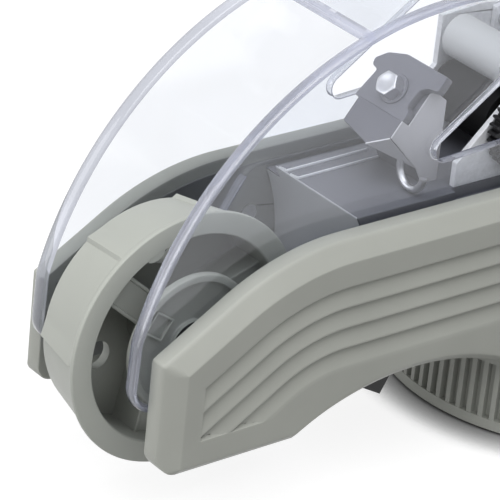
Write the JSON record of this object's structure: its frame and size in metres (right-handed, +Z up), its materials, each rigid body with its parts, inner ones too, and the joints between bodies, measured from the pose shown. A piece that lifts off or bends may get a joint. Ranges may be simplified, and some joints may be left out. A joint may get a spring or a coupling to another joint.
{
  "type": "electric tape dispenser",
  "caption": "Counter-top electric tape dispenser: ribbed round base, body with two fluted rear arms, reel between them, clear hinged cover, feed and cutter unit, and front push buttons.",
  "frame": {"origin": "centre of the round base, on the surface that the feet stand on", "axes": "+X to the front with the control panel, +Y across to the far arm, +Z up; the reel is at -X"},
  "size_m": [0.2715, 0.125, 0.1529],
  "materials": {
    "shell": "fine-grained moulded plastic",
    "frame": "moulded plastic",
    "reel": "smooth moulded plastic",
    "clear": "clear polished plastic",
    "black": "black moulded plastic",
    "rubber": "matt rubber",
    "steel": "plain steel",
    "zinc": "grey die-cast metal",
    "board": "circuit board",
    "glass": "tinted window"
  },
  "bodies": {
    "body": {"base_ring": "shell", "base_plate": "black", "ballast_disc": "steel", "rubber_feet": "rubber", "base_screws": "steel", "near_frame_plate": "frame", "far_frame_plate": "frame", "near_side_shell": "shell", "far_side_shell": "shell", "shell_screws": "steel", "deck": "frame", "cradle": "frame", "belly_pan": "frame", "front_housing": "shell", "power_inlet": "black", "reel_axle": "steel", "axle_spacers": "black", "pivot_bushes": "frame", "head_block": "zinc", "head_plate": "zinc", "head_bolt": "steel", "head_washer": "zinc", "tape_loop": "steel", "near_mech_plate": "steel", "far_mech_plate": "steel", "idler_pin": "steel", "feed_motor": "steel", "cutter_motor": "steel", "fixed_blade": "steel", "outlet_guard": "shell", "display_window": "glass", "display_module": "board", "control_board": "board", "switch_case": "black"},
    "reel": {"reel_drum": "reel", "reel_end_disc": "reel"},
    "cover": {"clear_cover": "clear"},
    "feed": {"feed_shaft": "steel", "feed_roller": "rubber", "feed_gear": "black"},
    "pinch": {"pinch_shaft": "steel", "pinch_roller": "rubber"},
    "idler": {"idler_gear": "black"},
    "pinion": {"motor_pinion": "steel"},
    "cutter": {"cutter_shaft": "steel", "cutter_arm": "zinc", "cutter_blade": "steel", "cutter_sector": "steel"},
    "cutter_drive": {"cutter_pinion": "steel"},
    "feed_key": {"feed_button": "shell"},
    "cut_key": {"cut_button": "shell"},
    "mode_key": {"mode_button": "shell"},
    "rocker": {"power_rocker": "black"}
  },
  "joints": [
    {"name": "reel_spin", "type": "hinge", "parent": "body", "child": "reel", "pos_m": [-0.169, 0, 0.0555], "axis": [0, 1, 0], "continuous": true},
    {"name": "cover_open", "type": "hinge", "parent": "body", "child": "cover", "pos_m": [-0.169, 0, 0.0555], "axis": [0, -1, 0], "range_deg": [0, 75]},
    {"name": "feed_spin", "type": "hinge", "parent": "body", "child": "feed", "pos_m": [-0.054, 0, 0.102], "axis": [0, 1, 0], "continuous": true},
    {"name": "pinch_spin", "type": "hinge", "parent": "body", "child": "pinch", "pos_m": [-0.054, 0, 0.1194], "axis": [0, 1, 0], "continuous": true},
    {"name": "idler_spin", "type": "hinge", "parent": "body", "child": "idler", "pos_m": [-0.03457, 0, 0.09679], "axis": [0, 1, 0], "continuous": true},
    {"name": "pinion_spin", "type": "hinge", "parent": "body", "child": "pinion", "pos_m": [-0.02169, 0, 0.09792], "axis": [0, 1, 0], "continuous": true},
    {"name": "cutter_swing", "type": "hinge", "parent": "body", "child": "cutter", "pos_m": [-0.036, 0, 0.122], "axis": [0, 1, 0], "range_deg": [0, 12], "stiffness_Nm_per_rad": 0.3, "springref_deg": -11.46},
    {"name": "cutter_drive_spin", "type": "hinge", "parent": "body", "child": "cutter_drive", "pos_m": [-0.036, 0, 0.10508], "axis": [0, 1, 0], "range_deg": [-30, 0]},
    {"name": "feed_key_press", "type": "slide", "parent": "body", "child": "feed_key", "axis": [-0.6428, 0, -0.766], "range_m": [0, 0.0012], "stiffness_N_per_m": 300, "springref_m": -0.0006},
    {"name": "cut_key_press", "type": "slide", "parent": "body", "child": "cut_key", "axis": [-0.6428, 0, -0.766], "range_m": [0, 0.0012], "stiffness_N_per_m": 300, "springref_m": -0.0006},
    {"name": "mode_key_press", "type": "slide", "parent": "body", "child": "mode_key", "axis": [-0.6428, 0, -0.766], "range_m": [0, 0.0012], "stiffness_N_per_m": 300, "springref_m": -0.0006},
    {"name": "rocker_tilt", "type": "hinge", "parent": "body", "child": "rocker", "pos_m": [0.0565, 0.012, 0.036], "axis": [0, 0, 1], "range_deg": [0, 9]}
  ],
  "couplings": [
    {"joint": "pinch_spin", "follows": "feed_spin", "ratio": -1.4286},
    {"joint": "idler_spin", "follows": "feed_spin", "ratio": -1.5},
    {"joint": "pinion_spin", "follows": "feed_spin", "ratio": 2.5},
    {"joint": "cutter_drive_spin", "follows": "cutter_swing", "ratio": -2.5}
  ]
}
